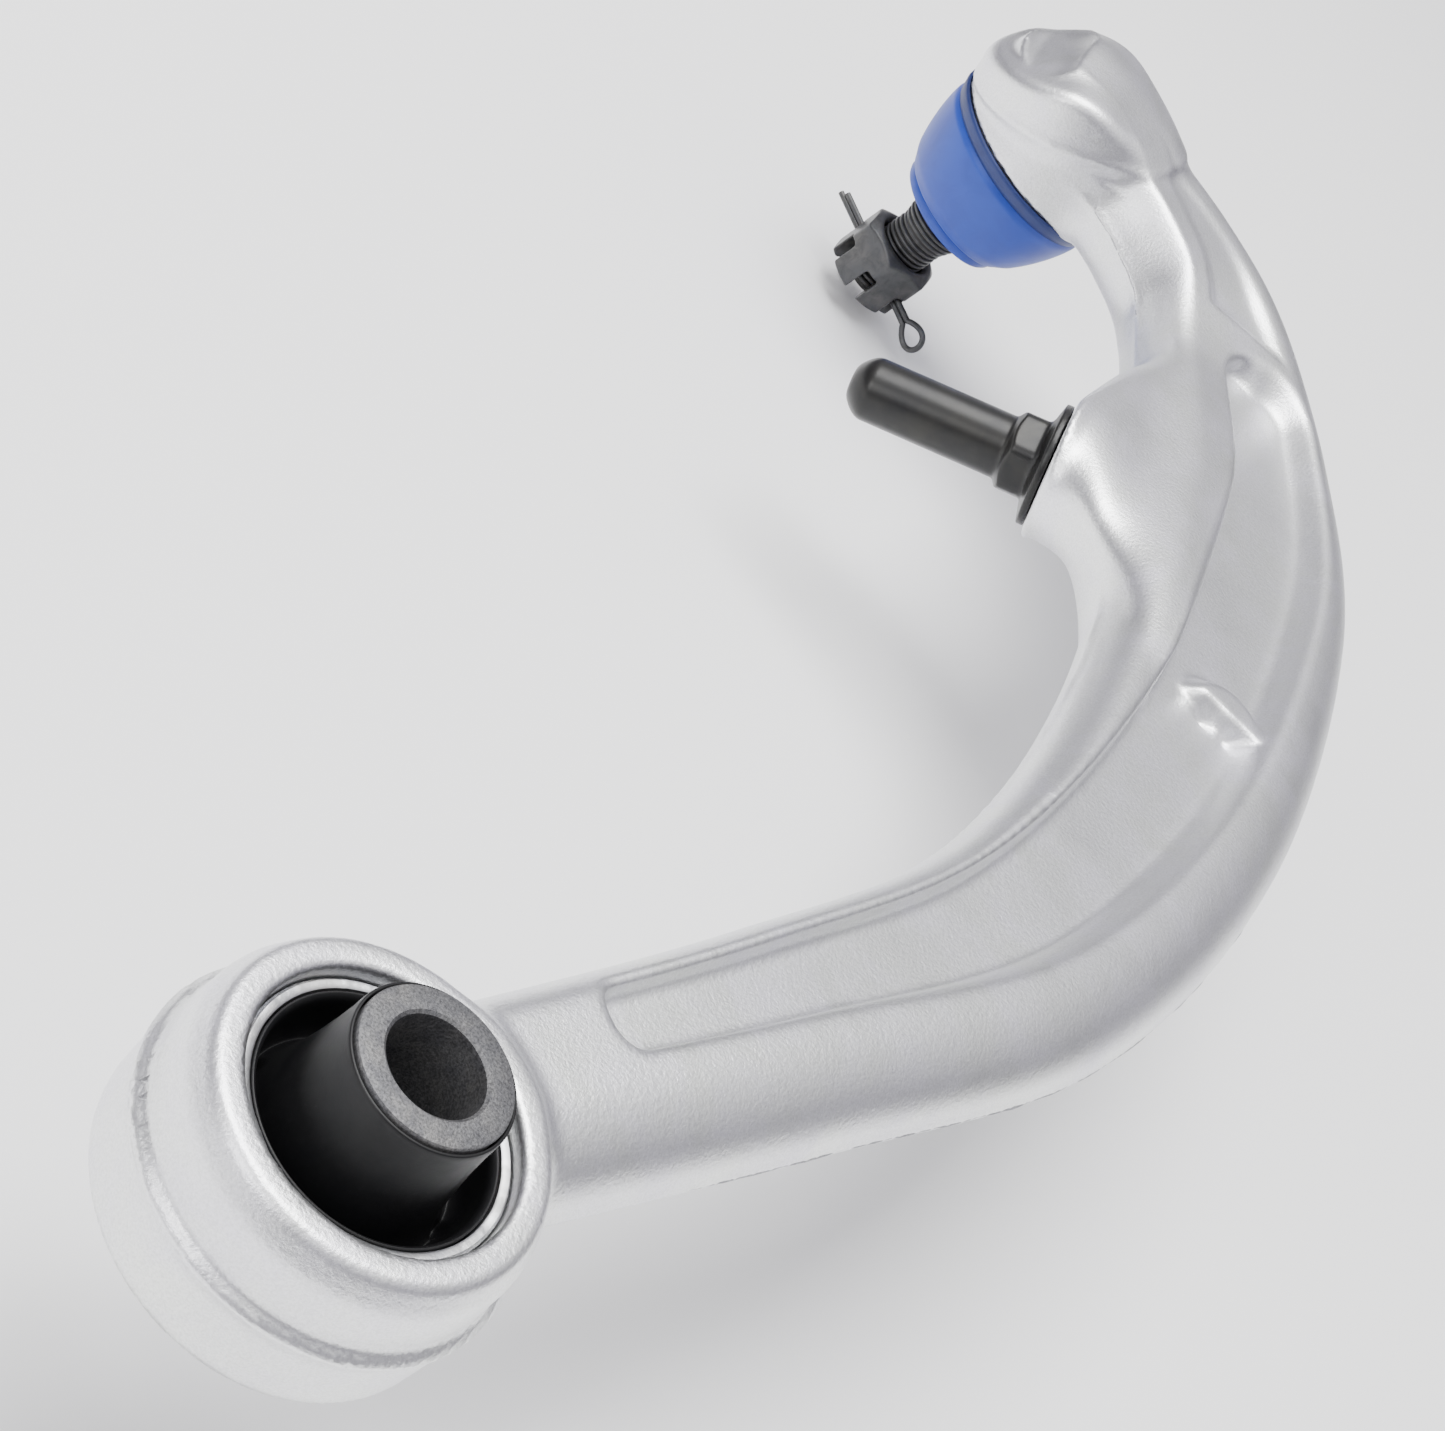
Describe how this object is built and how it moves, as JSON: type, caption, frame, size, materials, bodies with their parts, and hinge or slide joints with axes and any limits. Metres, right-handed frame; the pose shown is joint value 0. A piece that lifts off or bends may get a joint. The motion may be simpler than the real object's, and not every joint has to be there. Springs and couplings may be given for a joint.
{
  "type": "control arm",
  "caption": "Curved forged suspension control arm with a bonded rubber bush, a booted ball joint with castle nut and cotter pin, and a side mounting pin.",
  "frame": {"origin": "middle of the bush, on the bush axis in the eye's middle plane", "axes": "+Z along the bush axis towards the channelled face, +X from the bush towards the ball joint; the arm bulges to -Y and the mounting pin looks to +Y"},
  "size_m": [0.4531, 0.1504, 0.0894],
  "materials": {
    "forged_aluminium": "shot-blasted forging, satin, fine grain",
    "zinc_steel": "satin zinc plate",
    "sleeve_steel": "grainy cut end faces",
    "black_rubber": "satin moulded rubber",
    "phosphated_steel": "dark phosphated and oiled",
    "blue_rubber": "satin moulded boot",
    "seat_plastic": "natural acetal"
  },
  "bodies": {
    "arm": {"arm_forging": "forged_aluminium", "bush_outer_can": "zinc_steel", "bush_rubber": "black_rubber", "mount_pin": "phosphated_steel", "ball_seat": "seat_plastic", "ball_seat_ring": "seat_plastic", "retaining_ring": "zinc_steel", "boot_base_ring": "zinc_steel"},
    "bush_sleeve": {"bush_inner_sleeve": "sleeve_steel"},
    "boot_tilt": {"boot_skirt": "blue_rubber"},
    "stud_tilt": {"boot_neck": "blue_rubber", "boot_neck_ring": "phosphated_steel"},
    "stud": {"ball_stud": "phosphated_steel", "castle_nut": "phosphated_steel", "cotter_pin": "phosphated_steel"}
  },
  "joints": [
    {"name": "bush_twist", "type": "hinge", "parent": "arm", "child": "bush_sleeve", "pos_m": [0, 0, 0], "axis": [0, 0, 1], "range_deg": [-20, 20], "stiffness_Nm_per_rad": 60},
    {"name": "ball_tilt_u", "type": "hinge", "parent": "arm", "child": "boot_tilt", "pos_m": [0.4, -0.006, 0.007], "axis": [1, 0, 0], "range_deg": [-18, 18], "deforming": ["boot_skirt"]},
    {"name": "ball_tilt_v", "type": "hinge", "parent": "boot_tilt", "child": "stud_tilt", "pos_m": [0.4, -0.006, 0.007], "axis": [0, -0.9877, -0.1564], "range_deg": [-18, 18], "deforming": ["boot_neck"]},
    {"name": "stud_spin", "type": "hinge", "parent": "stud_tilt", "child": "stud", "pos_m": [0.4, -0.006, 0.007], "axis": [0, 0.1564, -0.9877], "continuous": true}
  ]
}
